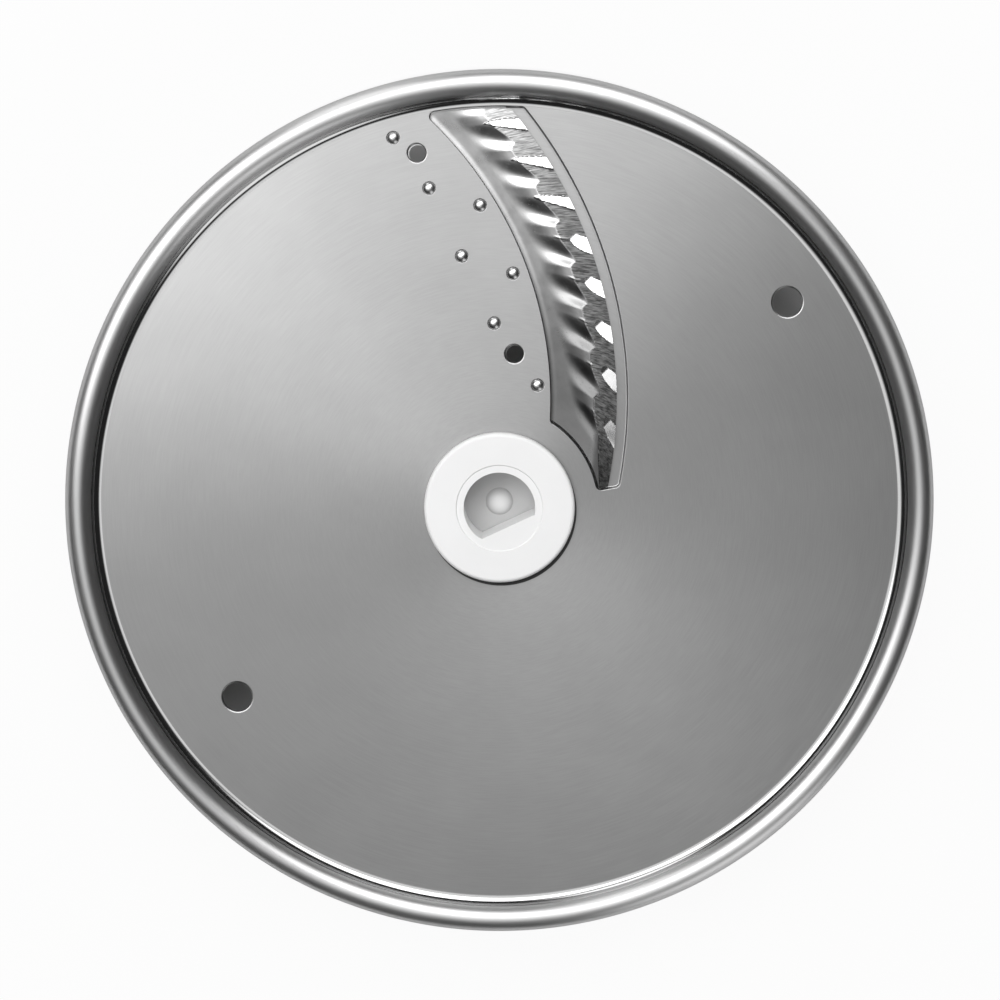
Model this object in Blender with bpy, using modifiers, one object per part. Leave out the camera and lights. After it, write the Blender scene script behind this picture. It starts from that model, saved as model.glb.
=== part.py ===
"""Ripple cut disc of a vegetable preparation machine.

A round stainless sheet with a rolled rim carries a corrugated, ground knife that is riveted
under it beside a curved window.  A moulded plastic hub clamps the sheet at its centre.
Units are metres, +Z points up out of the cutting side, and the origin is on the disc's axis
at the foot of the hub, which is what the disc rests on.
"""

import math

import bmesh
import bpy
from mathutils import Matrix, Vector

MM = 0.001

# Fits
SEAT_GAP = 0.3 * MM
WINDOW_CLEARANCE = 0.5 * MM

# Disc sheet and its rolled rim
DISC_RADIUS = 102.5 * MM
SHEET = 1.2 * MM
BEAD_RADIUS = 3.1 * MM
BEAD_LIFT = 1.2 * MM
FILLET_RADIUS = 2.2 * MM
CURL_END_ANGLE = math.radians(-140.0)

# Hub: its sockets, and the walls and shoulders round them
SOCKET_RADIUS = 8.45 * MM
SOCKET_FLAT_CUT = 3.55 * MM
SOCKET_FLAT_ANGLE = math.radians(-65.0)
DRIVE_DEPTH = 8.0 * MM
SOCKET_WEB = 2.2 * MM
DOME_RADIUS = 3.3 * MM
DOME_HEIGHT = 1.8 * MM
RECESS_MARGIN = 1.85 * MM
RECESS_DEPTH = 0.25 * MM
HUB_NECK_WALL = 3.55 * MM
HUB_FLANGE_REACH = 5.8 * MM
HUB_FLANGE_HEIGHT = 3.0 * MM
HUB_BOSS_REACH = 3.5 * MM
HUB_BOSS_DEPTH = 20.0 * MM
HUB_FOOT_TAPER = 1.0 * MM
HUB_EDGE_ROUND = 1.0 * MM

# Window, shelf and blade: arcs about one centre, which lies beyond the disc's axis from the blade
SEAM_RADIUS = 90.7 * MM
SEAM_OFFSET = 8.3 * MM
ARC_LEAN = math.radians(17.7)
BLADE_REACH = 15.4 * MM
MOUTH_WIDTH = 2.6 * MM
WINDOW_RIM_MARGIN = 0.3 * MM
WINDOW_HUB_MARGIN = 5.6 * MM
WINDOW_END_ANGLE = math.radians(80.5)
WINDOW_CORNER = 1.2 * MM
SHELF_BELOW_SHEET = 0.3 * MM
SHELF_UNDERLAP = 0.7 * MM
SHELF_WALL = 1.0 * MM
SHELF_ROUND = 0.6 * MM

# Ripple blade
BLADE_SHEET = 1.2 * MM
EDGE_HEIGHT = 1.5 * MM
EDGE_LAND = 0.12 * MM
BEVEL_WIDTH = 5.2 * MM
FLANGE_WIDTH = 17.7 * MM
RIPPLE_PITCH = 8.3 * MM
RIPPLE_DEPTH = 1.9 * MM
RIPPLE_CREST = 89.9 * MM
RIPPLE_RUN_IN = 8.0 * MM
RIPPLE_FADE = 5.0 * MM

# Rivets and pilot holes: (share of the window's length from its hub end, share of the flange's
# width from the seam)
RIVET_SHANK_RADIUS = 1.0 * MM
RIVET_HEAD_SPREAD = 0.4 * MM
RIVET_SINK = 0.6 * MM
RIVET_TAIL_SPREAD = 1.2 * MM
RIVET_TAIL_HEIGHT = 1.0 * MM
RIVET_DOME = 0.35 * MM
RIVET_PLACES = (
    (0.946, 0.507), (0.756, 0.624), (0.677, 0.202), (0.516, 0.741), (0.451, 0.205), (0.284, 0.635),
    (0.096, 0.176),
)
PILOT_RADIUS = 2.1 * MM
PILOT_SHIFT = 0.25 * MM
PILOT_PLACES = ((0.878, 0.438), (0.184, 0.449))

# Lifting holes: (distance in from the flat web's rim in mm, clockwise angle from +Y in degrees)
LIFT_HOLE_RADIUS = 3.5 * MM
LIFT_HOLE_PLACES = ((11.1, 54.4), (16.8, 233.8))

# Hub radii worked out from the sizes above
SOCKET_FLAT = SOCKET_RADIUS - SOCKET_FLAT_CUT
RECESS_RADIUS = SOCKET_RADIUS + RECESS_MARGIN
HUB_NECK_RADIUS = SOCKET_RADIUS + HUB_NECK_WALL
HUB_FLANGE_RADIUS = HUB_NECK_RADIUS + HUB_FLANGE_REACH
HUB_BOSS_RADIUS = HUB_NECK_RADIUS + HUB_BOSS_REACH
HUB_FOOT_RADIUS = HUB_BOSS_RADIUS - HUB_FOOT_TAPER

# Levels worked out from the sizes above
SHEET_BOTTOM = HUB_BOSS_DEPTH
SHEET_TOP = SHEET_BOTTOM + SHEET
HUB_TOP = SHEET_TOP + HUB_FLANGE_HEIGHT
SOCKET_FLOOR = DRIVE_DEPTH + SOCKET_WEB
BEAD_CENTRE_RADIUS = DISC_RADIUS - BEAD_RADIUS
BEAD_CENTRE_HEIGHT = SHEET_TOP + BEAD_LIFT
WEB_RADIUS = BEAD_CENTRE_RADIUS - math.sqrt(
    (BEAD_RADIUS + FILLET_RADIUS) ** 2 - (FILLET_RADIUS - BEAD_LIFT) ** 2
)

# Window, shelf and blade worked out from the sizes above
ARC_DISTANCE = SEAM_RADIUS - SEAM_OFFSET
ARC_CENTRE = Vector((-ARC_DISTANCE * math.cos(ARC_LEAN), ARC_DISTANCE * math.sin(ARC_LEAN)))
EDGE_RADIUS = SEAM_RADIUS + BLADE_REACH
WINDOW_RADIUS = EDGE_RADIUS + MOUTH_WIDTH
FLANGE_RADIUS = SEAM_RADIUS - FLANGE_WIDTH
WINDOW_HUB_RADIUS = HUB_FLANGE_RADIUS + WINDOW_HUB_MARGIN
WINDOW_RIM_RADIUS = WEB_RADIUS - WINDOW_RIM_MARGIN
SHELF_RADIUS = EDGE_RADIUS - SHELF_UNDERLAP
SHELF_TOP = SHEET_BOTTOM - SHELF_BELOW_SHEET
BLADE_TOP = SHEET_BOTTOM - SEAT_GAP
BLADE_BOTTOM = BLADE_TOP - BLADE_SHEET
EDGE_LEVEL = SHEET_TOP + EDGE_HEIGHT

# Facets
ROUND_STEPS = 96
HUB_STEPS = 40
HOLE_STEPS = 24
RIVET_STEPS = 12
OUTLINE_STEP = 3.6 * MM
CORNER_STEPS = 4
ROWS_PER_RIPPLE = 8
CUT_MARGIN = 2.0 * MM


def clear_scene():
    """Remove what a new Blender file holds."""
    for thing in list(bpy.data.objects):
        bpy.data.objects.remove(thing, do_unlink=True)


def make_collection(name):
    """Add a collection to the scene."""
    collection = bpy.data.collections.new(name)
    bpy.context.scene.collection.children.link(collection)
    return collection


def make_material(name, colour, metallic, roughness):
    """Return a Principled material of one colour."""
    material = bpy.data.materials.new(name)
    material.use_nodes = True
    shader = material.node_tree.nodes["Principled BSDF"]
    shader.inputs["Base Color"].default_value = (*colour, 1.0)
    shader.inputs["Metallic"].default_value = metallic
    shader.inputs["Roughness"].default_value = roughness
    return material


def add_object(name, mesh, collection):
    """Put a mesh in the scene as an object."""
    item = bpy.data.objects.new(name, mesh)
    collection.objects.link(item)
    return item


def finish_part(item, material, smooth_angle=30.0):
    """Give a part its material and smooth its round faces."""
    item.data.materials.clear()
    item.data.materials.append(material)
    item.data.shade_smooth()
    item.data.set_sharp_from_angle(angle=math.radians(smooth_angle))


def mesh_from(name, bm):
    """Turn a bmesh into mesh data with faces pointing out."""
    bmesh.ops.recalc_face_normals(bm, faces=bm.faces)
    mesh = bpy.data.meshes.new(name)
    bm.to_mesh(mesh)
    bm.free()
    return mesh


def arc(centre, radius, start, end, steps):
    """Points on an arc, both ends included."""
    turns = [start + (end - start) * step / steps for step in range(steps + 1)]
    return [(centre[0] + radius * math.cos(turn), centre[1] + radius * math.sin(turn)) for turn in turns]


def turned(name, profile, closed, steps, collection, place=(0.0, 0.0, 0.0)):
    """Revolve an (r, z) profile about a vertical axis at a place."""
    bm = bmesh.new()
    points = [bm.verts.new((radius, 0.0, height)) for radius, height in profile]
    for first, second in zip(points, points[1:]):
        bm.edges.new((first, second))
    if closed:
        bm.edges.new((points[-1], points[0]))
    mesh = bpy.data.meshes.new(name)
    bm.to_mesh(mesh)
    bm.free()
    item = add_object(name, mesh, collection)
    item.location = place
    screw = item.modifiers.new("Turn", "SCREW")
    screw.angle = math.tau
    screw.steps = steps
    screw.render_steps = steps
    screw.use_merge_vertices = True
    screw.merge_threshold = 0.00001
    return item


def prism(name, outline, bottom, top, collection, bottom_round=0.0):
    """Raise a flat (x, y) outline between two heights, and round its bottom edge if asked."""
    bm = bmesh.new()
    base = bm.faces.new([bm.verts.new((x, y, bottom)) for x, y in outline])
    raised = bmesh.ops.extrude_face_region(bm, geom=[base])
    lifted = [part for part in raised["geom"] if isinstance(part, bmesh.types.BMVert)]
    bmesh.ops.translate(bm, vec=(0.0, 0.0, top - bottom), verts=lifted)
    if bottom_round:
        rim = [edge for edge in bm.edges if all(abs(v.co.z - bottom) < 1e-6 for v in edge.verts)]
        bmesh.ops.bevel(
            bm, geom=rim, offset=bottom_round, segments=2, profile=0.5, affect="EDGES", clamp_overlap=True
        )
    return add_object(name, mesh_from(name, bm), collection)


def hole_cutter(name, radius, steps, bottom, top, place, collection):
    """A round cutter standing at a place."""
    bm = bmesh.new()
    bmesh.ops.create_cone(
        bm, cap_ends=True, segments=steps, radius1=radius, radius2=radius, depth=top - bottom
    )
    bmesh.ops.translate(bm, vec=(place[0], place[1], (top + bottom) / 2.0), verts=bm.verts)
    return add_object(name, mesh_from(name, bm), collection)


def cap(radius, height, base, steps):
    """An (r, z) profile of a shallow dome, from its top on the axis to its rim at the base."""
    sphere = (radius ** 2 + height ** 2) / (2.0 * abs(height))
    side = math.copysign(1.0, height)
    centre = base + height - side * sphere
    half = math.asin(min(1.0, radius / sphere))
    points = [(0.0, base + height)]
    for step in range(1, steps + 1):
        lean = half * step / steps
        points.append((sphere * math.sin(lean), centre + side * sphere * math.cos(lean)))
    return points


def boolean(item, tool, operation):
    """Add a Boolean modifier, and keep its tool out of sight."""
    modifier = item.modifiers.new(tool.name, "BOOLEAN")
    modifier.object = tool
    modifier.operation = operation
    modifier.solver = "EXACT"
    tool.hide_render = True
    tool.display_type = "WIRE"


def bearing(radius, arc_radius):
    """Clockwise angle from +Y where a circle about the axis meets an arc about ARC_CENTRE."""
    sine = (arc_radius ** 2 - radius ** 2 - ARC_DISTANCE ** 2) / (2.0 * ARC_DISTANCE * radius)
    return ARC_LEAN + math.asin(max(-1.0, min(1.0, sine)))


def at_bearing(radius, angle):
    """The (x, y) point at a radius and a clockwise angle from +Y."""
    return (radius * math.sin(angle), radius * math.cos(angle))


def on_flange(length_share, width_share):
    """The (x, y) point at a share of the window's length and a share of the flange's width."""
    radius = WINDOW_HUB_RADIUS + length_share * (WINDOW_RIM_RADIUS - WINDOW_HUB_RADIUS)
    return at_bearing(radius, bearing(radius, SEAM_RADIUS - width_share * FLANGE_WIDTH))


def side_arc(arc_radius, start_radius, end_radius):
    """Points on an arc about ARC_CENTRE, from one distance to the disc's axis to another."""
    ends = []
    for radius in (start_radius, end_radius):
        x, y = at_bearing(radius, bearing(radius, arc_radius))
        ends.append(math.atan2(y - ARC_CENTRE.y, x - ARC_CENTRE.x))
    steps = max(1, round(arc_radius * abs(ends[1] - ends[0]) / OUTLINE_STEP))
    return arc(ARC_CENTRE, arc_radius, ends[0], ends[1], steps)


def hub_arc(radius, start_angle, end_angle):
    """Points on a circle about the axis, between two clockwise angles from +Y."""
    steps = max(1, round(radius * abs(end_angle - start_angle) / OUTLINE_STEP))
    quarter = math.pi / 2.0
    return arc((0.0, 0.0), radius, quarter - start_angle, quarter - end_angle, steps)


def end_radius(arc_radius, end_angle):
    """Distance from the axis at which a ray at an angle crosses an arc about ARC_CENTRE."""
    ray = Vector(at_bearing(1.0, end_angle))
    along = ray.dot(ARC_CENTRE)
    return along + math.sqrt(along ** 2 - ARC_CENTRE.length_squared + arc_radius ** 2)


def rounded(outline, corners, radius):
    """Replace the named corners of an outline by short arcs."""
    result = []
    count = len(outline)
    for index, point in enumerate(outline):
        if index not in corners:
            result.append(point)
            continue
        here = Vector(point)
        before = (Vector(outline[index - 1]) - here).normalized()
        after = (Vector(outline[(index + 1) % count]) - here).normalized()
        half = before.angle(after) / 2.0
        reach = radius / math.tan(half)
        middle = here + (before + after).normalized() * (radius / math.sin(half))
        first = here + before * reach - middle
        last = here + after * reach - middle
        sweep = first.angle_signed(last)
        for step in range(CORNER_STEPS + 1):
            spoke = first.copy()
            spoke.rotate(Matrix.Rotation(-sweep * step / CORNER_STEPS, 2))
            result.append(tuple(middle + spoke))
    return result


def band_outline(inner_arc, outer_arc, corner, grow=0.0):
    """Outline between two arcs about ARC_CENTRE, from the rim end to the hub end of the window.

    Its ends are let out by grow.  The corners on its outer side are rounded, and those on its
    inner side too where it isn't let out.  An inner arc that passes the hub end before it meets
    the hub's circle ends at the window's end angle.
    """
    rim = WINDOW_RIM_RADIUS + grow
    end_angle = WINDOW_END_ANGLE + grow / WINDOW_HUB_RADIUS
    hub_angle = bearing(WINDOW_HUB_RADIUS, inner_arc)
    outer = side_arc(outer_arc, rim, end_radius(outer_arc, end_angle))
    if hub_angle < end_angle:
        foot = hub_arc(WINDOW_HUB_RADIUS, end_angle, hub_angle)
        seam = side_arc(inner_arc, WINDOW_HUB_RADIUS, rim)
    else:
        seam = side_arc(inner_arc, end_radius(inner_arc, end_angle), rim)
        foot = seam[:1]
    top = hub_arc(rim, bearing(rim, inner_arc), bearing(rim, outer_arc))
    corners = {0, len(outer) - 1}
    if not grow:
        corners |= {len(outer) + len(foot) - 1, len(outer) + len(foot) + len(seam) - 2}
    return rounded(outer + foot + seam[1:-1] + top[:-1], corners, corner)


def build_disc(parts, cutters, steel):
    """The sheet: flat web, fillet, rolled rim, window with its sunk shelf, and holes."""
    fillet_centre = (WEB_RADIUS, SHEET_TOP + FILLET_RADIUS)
    bead_centre = (BEAD_CENTRE_RADIUS, BEAD_CENTRE_HEIGHT)
    join = math.atan2(bead_centre[1] - fillet_centre[1], bead_centre[0] - fillet_centre[0])
    flat = -math.pi / 2.0
    over = join + math.pi
    hole = HUB_NECK_RADIUS + SEAT_GAP
    profile = [(hole, SHEET_TOP)]
    profile += arc(fillet_centre, FILLET_RADIUS, flat, join, 3)
    profile += arc(bead_centre, BEAD_RADIUS, over, CURL_END_ANGLE, 13)[1:]
    profile += arc(bead_centre, BEAD_RADIUS - SHEET, CURL_END_ANGLE, over, 7)
    profile += arc(fillet_centre, FILLET_RADIUS + SHEET, join, flat, 3)[1:]
    profile += [(hole, SHEET_BOTTOM)]
    disc = turned("disc_plate", profile, True, ROUND_STEPS, parts)

    shelf_outline = band_outline(
        SHELF_RADIUS, WINDOW_RADIUS + SHELF_WALL, WINDOW_CORNER + SHELF_WALL, SHELF_WALL
    )
    shelf = prism(
        "shelf_pan", shelf_outline, SHELF_TOP - SHEET, SHEET_TOP - SHEET / 4.0, cutters, SHELF_ROUND
    )
    boolean(disc, shelf, "UNION")

    recess_outline = band_outline(SEAM_RADIUS, WINDOW_RADIUS, WINDOW_CORNER)
    recess = prism(
        "shelf_recess", recess_outline, SHELF_TOP, SHEET_TOP + CUT_MARGIN, cutters, SHELF_ROUND / 2.0
    )
    boolean(disc, recess, "DIFFERENCE")

    low = SHEET_BOTTOM - CUT_MARGIN
    high = SHEET_TOP + CUT_MARGIN
    rivet_hole = RIVET_SHANK_RADIUS + SEAT_GAP
    sink_radius = RIVET_SHANK_RADIUS + RIVET_HEAD_SPREAD + SEAT_GAP
    slope = (sink_radius - rivet_hole) / RIVET_SINK
    sink_profile = [(0.0, high), (sink_radius + slope * CUT_MARGIN, high)]
    sink_profile += [(rivet_hole, SHEET_TOP - RIVET_SINK), (rivet_hole, low), (0.0, low)]
    holes = []
    for number, shares in enumerate(RIVET_PLACES, 1):
        place = (*on_flange(*shares), 0.0)
        holes.append(turned(f"rivet_hole_{number}", sink_profile, False, RIVET_STEPS, cutters, place))
    for number, shares in enumerate(PILOT_PLACES, 1):
        place = on_flange(*shares)
        holes.append(hole_cutter(f"pilot_hole_{number}", PILOT_RADIUS, HOLE_STEPS, low, high, place, cutters))
    for number, (inset, angle) in enumerate(LIFT_HOLE_PLACES, 1):
        name = f"lift_hole_{number}"
        place = at_bearing(WEB_RADIUS - inset * MM, math.radians(angle))
        holes.append(hole_cutter(name, LIFT_HOLE_RADIUS, HOLE_STEPS, low, high, place, cutters))
    for tool in holes:
        boolean(disc, tool, "DIFFERENCE")
    finish_part(disc, steel)
    return disc


def ease(value):
    """Smooth step from 0 to 1."""
    value = max(0.0, min(1.0, value))
    return value * value * (3.0 - 2.0 * value)


def blade_section(radius):
    """Closed (x, y, z) section of the blade along one circle about the axis."""
    end_angle = WINDOW_END_ANGLE - WINDOW_CLEARANCE / WINDOW_HUB_RADIUS
    flange = bearing(radius, FLANGE_RADIUS)
    seam = bearing(radius, SEAM_RADIUS)
    edge = min(bearing(radius, EDGE_RADIUS), end_angle)
    span = (edge - seam) * radius
    bevel = min(BEVEL_WIDTH / span, 0.45)
    wave = math.cos(math.tau * (radius - RIPPLE_CREST) / RIPPLE_PITCH)
    inner_fade = ease((radius - WINDOW_HUB_RADIUS) / RIPPLE_FADE - 0.6)
    outer_fade = ease((WINDOW_RIM_RADIUS - radius) / RIPPLE_FADE + 0.3)

    def underside(share):
        rise = share * share * (2.0 - share)
        ripple = ease((share - RIPPLE_RUN_IN / span * 0.5) / 0.35) * inner_fade * outer_fade
        return BLADE_BOTTOM + (EDGE_LEVEL - BLADE_BOTTOM) * rise + ripple * RIPPLE_DEPTH / 2.0 * wave

    shares = [(1.0 - bevel) * share for share in (0.0, 0.25, 0.45, 0.6, 0.74, 0.87, 1.0)]
    shares += [1.0 - bevel / 2.0, 1.0]
    lower = [(flange, BLADE_BOTTOM)] + [(seam + share * (edge - seam), underside(share)) for share in shares]
    upper = [(flange, BLADE_TOP)]
    for share in shares:
        thickness = EDGE_LAND + (BLADE_SHEET - EDGE_LAND) * min(1.0, (1.0 - share) / bevel)
        upper.append((seam + share * (edge - seam), underside(share) + thickness))
    loop = lower + upper[::-1]
    return [(*at_bearing(radius, angle), height) for angle, height in loop]


def build_blade(parts, cutters, steel):
    """The corrugated knife: a flat flange under the disc that rises through the window."""
    inner = WINDOW_HUB_RADIUS + WINDOW_CLEARANCE
    outer = WINDOW_RIM_RADIUS - WINDOW_CLEARANCE
    rows = round((outer - inner) / RIPPLE_PITCH * ROWS_PER_RIPPLE)
    bm = bmesh.new()
    loops = []
    for row in range(rows + 1):
        section = blade_section(inner + (outer - inner) * row / rows)
        loops.append([bm.verts.new(point) for point in section])
    count = len(loops[0])
    for first, second in zip(loops, loops[1:]):
        for index in range(count):
            after = (index + 1) % count
            bm.faces.new((first[index], first[after], second[after], second[index]))
    for end in (loops[0], loops[-1]):
        for index in range(count // 2 - 1):
            bm.faces.new((end[index], end[index + 1], end[count - 2 - index], end[count - 1 - index]))
    blade = add_object("ripple_blade", mesh_from("ripple_blade", bm), parts)
    low = BLADE_BOTTOM - CUT_MARGIN
    high = BLADE_TOP + CUT_MARGIN
    hole = RIVET_SHANK_RADIUS + SEAT_GAP
    for number, shares in enumerate(RIVET_PLACES, 1):
        place = on_flange(*shares)
        tool = hole_cutter(f"blade_rivet_hole_{number}", hole, RIVET_STEPS, low, high, place, cutters)
        boolean(blade, tool, "DIFFERENCE")
    for number, shares in enumerate(PILOT_PLACES, 1):
        x, y = on_flange(*shares)
        place = (x + PILOT_SHIFT, y - PILOT_SHIFT)
        tool = hole_cutter(f"blade_pilot_hole_{number}", PILOT_RADIUS, HOLE_STEPS, low, high, place, cutters)
        boolean(blade, tool, "DIFFERENCE")
    finish_part(blade, steel)
    return blade


def build_rivets(parts, steel):
    """Seven rivets: countersunk and domed on top, with a button head under the blade."""
    under = BLADE_BOTTOM - SEAT_GAP
    rim = SHEET_TOP - SEAT_GAP / 2.0
    profile = cap(RIVET_SHANK_RADIUS + RIVET_HEAD_SPREAD, RIVET_DOME, rim, 3)
    profile += [(RIVET_SHANK_RADIUS, rim - RIVET_SINK), (RIVET_SHANK_RADIUS, under)]
    profile += cap(RIVET_SHANK_RADIUS + RIVET_TAIL_SPREAD, -RIVET_TAIL_HEIGHT, under, 3)[::-1]
    for number, shares in enumerate(RIVET_PLACES, 1):
        place = (*on_flange(*shares), 0.0)
        rivet = turned(f"blade_rivet_{number}", profile, False, RIVET_STEPS, parts, place)
        finish_part(rivet, steel, 50.0)


def socket_outline():
    """The D of the sockets: a circle with one flat."""
    half = math.acos(SOCKET_FLAT / SOCKET_RADIUS)
    return arc((0.0, 0.0), SOCKET_RADIUS, SOCKET_FLAT_ANGLE + half, SOCKET_FLAT_ANGLE + math.tau - half, 36)


def build_hub(parts, cutters, plastic):
    """The moulded hub: a flange over the sheet, a neck through it and a drive boss under it."""
    seat = SHEET_TOP + SEAT_GAP
    under = SHEET_BOTTOM - SEAT_GAP
    turn = math.pi / 2.0
    top_centre = (HUB_FLANGE_RADIUS - HUB_EDGE_ROUND, HUB_TOP - HUB_EDGE_ROUND)
    foot_centre = (HUB_FOOT_RADIUS - HUB_EDGE_ROUND, HUB_EDGE_ROUND)
    profile = [(0.0, HUB_TOP - RECESS_DEPTH), (RECESS_RADIUS - RECESS_DEPTH, HUB_TOP - RECESS_DEPTH)]
    profile += [(RECESS_RADIUS, HUB_TOP)]
    profile += arc(top_centre, HUB_EDGE_ROUND, turn, 0.0, 4)
    profile += [(HUB_FLANGE_RADIUS, seat), (HUB_NECK_RADIUS, seat), (HUB_NECK_RADIUS, under)]
    profile += [(HUB_BOSS_RADIUS, under)]
    profile += arc(foot_centre, HUB_EDGE_ROUND, 0.0, -turn, 3)
    profile += [(0.0, 0.0)]
    hub = turned("hub", profile, False, HUB_STEPS, parts)

    top_socket = prism("top_socket", socket_outline(), SOCKET_FLOOR, HUB_TOP + CUT_MARGIN, cutters)
    boolean(hub, top_socket, "DIFFERENCE")
    drive_socket = prism("drive_socket", socket_outline(), -CUT_MARGIN, DRIVE_DEPTH, cutters)
    boolean(hub, drive_socket, "DIFFERENCE")

    root = SOCKET_FLOOR - SOCKET_WEB / 3.0
    dome_profile = cap(DOME_RADIUS, DOME_HEIGHT, SOCKET_FLOOR, 4) + [(DOME_RADIUS, root), (0.0, root)]
    dome = turned("socket_dome", dome_profile, False, HOLE_STEPS, cutters)
    boolean(hub, dome, "UNION")
    finish_part(hub, plastic)


def main():
    """Build the disc."""
    clear_scene()
    parts = make_collection("ripple_cut_disc")
    cutters = make_collection("cutters")
    sheet_steel = make_material("brushed_steel", (0.42, 0.42, 0.42), 1.0, 0.32)
    blade_steel = make_material("ground_steel", (0.5, 0.5, 0.5), 1.0, 0.2)
    rivet_steel = make_material("rivet_steel", (0.45, 0.45, 0.45), 1.0, 0.25)
    white_plastic = make_material("white_plastic", (0.86, 0.86, 0.86), 0.0, 0.45)
    build_disc(parts, cutters, sheet_steel)
    build_blade(parts, cutters, blade_steel)
    build_rivets(parts, rivet_steel)
    build_hub(parts, cutters, white_plastic)


main()
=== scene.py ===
"""Ripple cut disc: finish of every surface, studio and camera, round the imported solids.

Units are metres in the part's own frame: +Z out of the cutting side, origin on the disc's axis
at the foot of the hub, +Y towards the rim end of the blade.
"""

import logging
import math
from dataclasses import dataclass
from enum import Enum
from typing import Callable

import bmesh
import bpy
from mathutils import Matrix, Vector


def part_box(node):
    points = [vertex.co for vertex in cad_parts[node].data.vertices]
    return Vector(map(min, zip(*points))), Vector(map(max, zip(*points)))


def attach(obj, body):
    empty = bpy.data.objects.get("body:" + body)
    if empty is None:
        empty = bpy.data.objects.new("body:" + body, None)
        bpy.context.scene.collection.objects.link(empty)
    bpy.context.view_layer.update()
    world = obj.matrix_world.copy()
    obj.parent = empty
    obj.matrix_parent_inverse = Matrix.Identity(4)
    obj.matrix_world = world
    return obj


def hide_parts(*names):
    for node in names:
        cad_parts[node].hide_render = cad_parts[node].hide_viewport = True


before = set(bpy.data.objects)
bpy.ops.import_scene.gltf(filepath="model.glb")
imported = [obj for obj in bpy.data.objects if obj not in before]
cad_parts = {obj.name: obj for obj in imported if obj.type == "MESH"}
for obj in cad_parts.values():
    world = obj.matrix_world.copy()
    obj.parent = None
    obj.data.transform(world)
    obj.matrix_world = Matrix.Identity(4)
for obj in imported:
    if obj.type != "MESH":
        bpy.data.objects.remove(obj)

MM = 0.001
MERGE = 0.001 * MM
CUT_PAST = 2.0 * MM
EASE_OVER = 0.02
SEAT_GAP = 0.3 * MM
HUB_FLANGE = 3.0 * MM
LEVEL_NORMAL = 0.9995
FLAT_ANGLE = math.radians(8.5)
SMOOTH_ANGLE = 32.0
PATTERN_MIDDLE = (0.3, 0.7)
BODY = "root"
LOG = logging.getLogger("ripple_cut_disc")

Piece = bpy.types.Object
Finish = bpy.types.Material
Socket = bpy.types.NodeSocket
Point = tuple[float, float]
Point3 = tuple[float, float, float]
Profile = list[Point]


class Cut(Enum):
    """What a tool does to the piece that it meets."""

    REMOVE = "DIFFERENCE"
    ADD = "UNION"


class Slot(Enum):
    """The material slots of the record."""

    DISC = "disc_steel"
    BLADE = "blade_steel"
    RIVET = "rivet_steel"
    HUB = "hub_plastic"


# Modelling by operators


def clear_selection() -> None:
    """Deselect every object, so that an operator acts on new work only."""
    bpy.ops.object.select_all(action="DESELECT")


def take(piece: Piece) -> None:
    """Make a piece the only selected and the active object.

    Args:
        piece: The object to work on next.
    """
    clear_selection()
    piece.select_set(True)
    bpy.context.view_layer.objects.active = piece


def edit(piece: Piece) -> None:
    """Open a piece in edit mode."""
    take(piece)
    bpy.ops.object.mode_set(mode="EDIT")


def pick_all() -> None:
    """Select all of the mesh in edit mode."""
    bpy.ops.mesh.select_all(action="SELECT")


def leave_edit() -> None:
    """Go back to object mode."""
    bpy.ops.object.mode_set(mode="OBJECT")


def pick_edges(piece: Piece, wanted: Callable[[bmesh.types.BMEdge], bool]) -> None:
    """Select the edges of the piece in edit mode that pass a test.

    Args:
        piece: The object that is open in edit mode.
        wanted: Returns True for an edge to select.
    """
    bpy.ops.mesh.select_mode(type="EDGE")
    bpy.ops.mesh.select_all(action="DESELECT")
    shape = bmesh.from_edit_mesh(piece.data)
    for edge in shape.edges:
        edge.select_set(wanted(edge))
    bmesh.update_edit_mesh(piece.data)


def cut(piece: Piece, tools: list[Piece], action: Cut) -> None:
    """Combine tools that lie apart with a piece, and throw them away.

    Args:
        piece: The object that stays.
        tools: The objects that cut or join it.
        action: What the tools do.
    """
    tool = tools[0]
    if len(tools) > 1:
        take(tool)
        for other in tools[1:]:
            other.select_set(True)
        bpy.ops.object.join()
    take(piece)
    modifier = piece.modifiers.new("Cut", "BOOLEAN")
    modifier.object = tool
    modifier.operation = action.value
    modifier.solver = "EXACT"
    bpy.ops.object.modifier_apply(modifier=modifier.name)
    bpy.data.objects.remove(tool, do_unlink=True)


def arc(centre: Point, radius: float, start: float, end: float, steps: int) -> Profile:
    """Points on an arc, both ends included."""
    turns = [start + (end - start) * step / steps for step in range(steps + 1)]
    return [(centre[0] + radius * math.cos(turn), centre[1] + radius * math.sin(turn)) for turn in turns]


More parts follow.
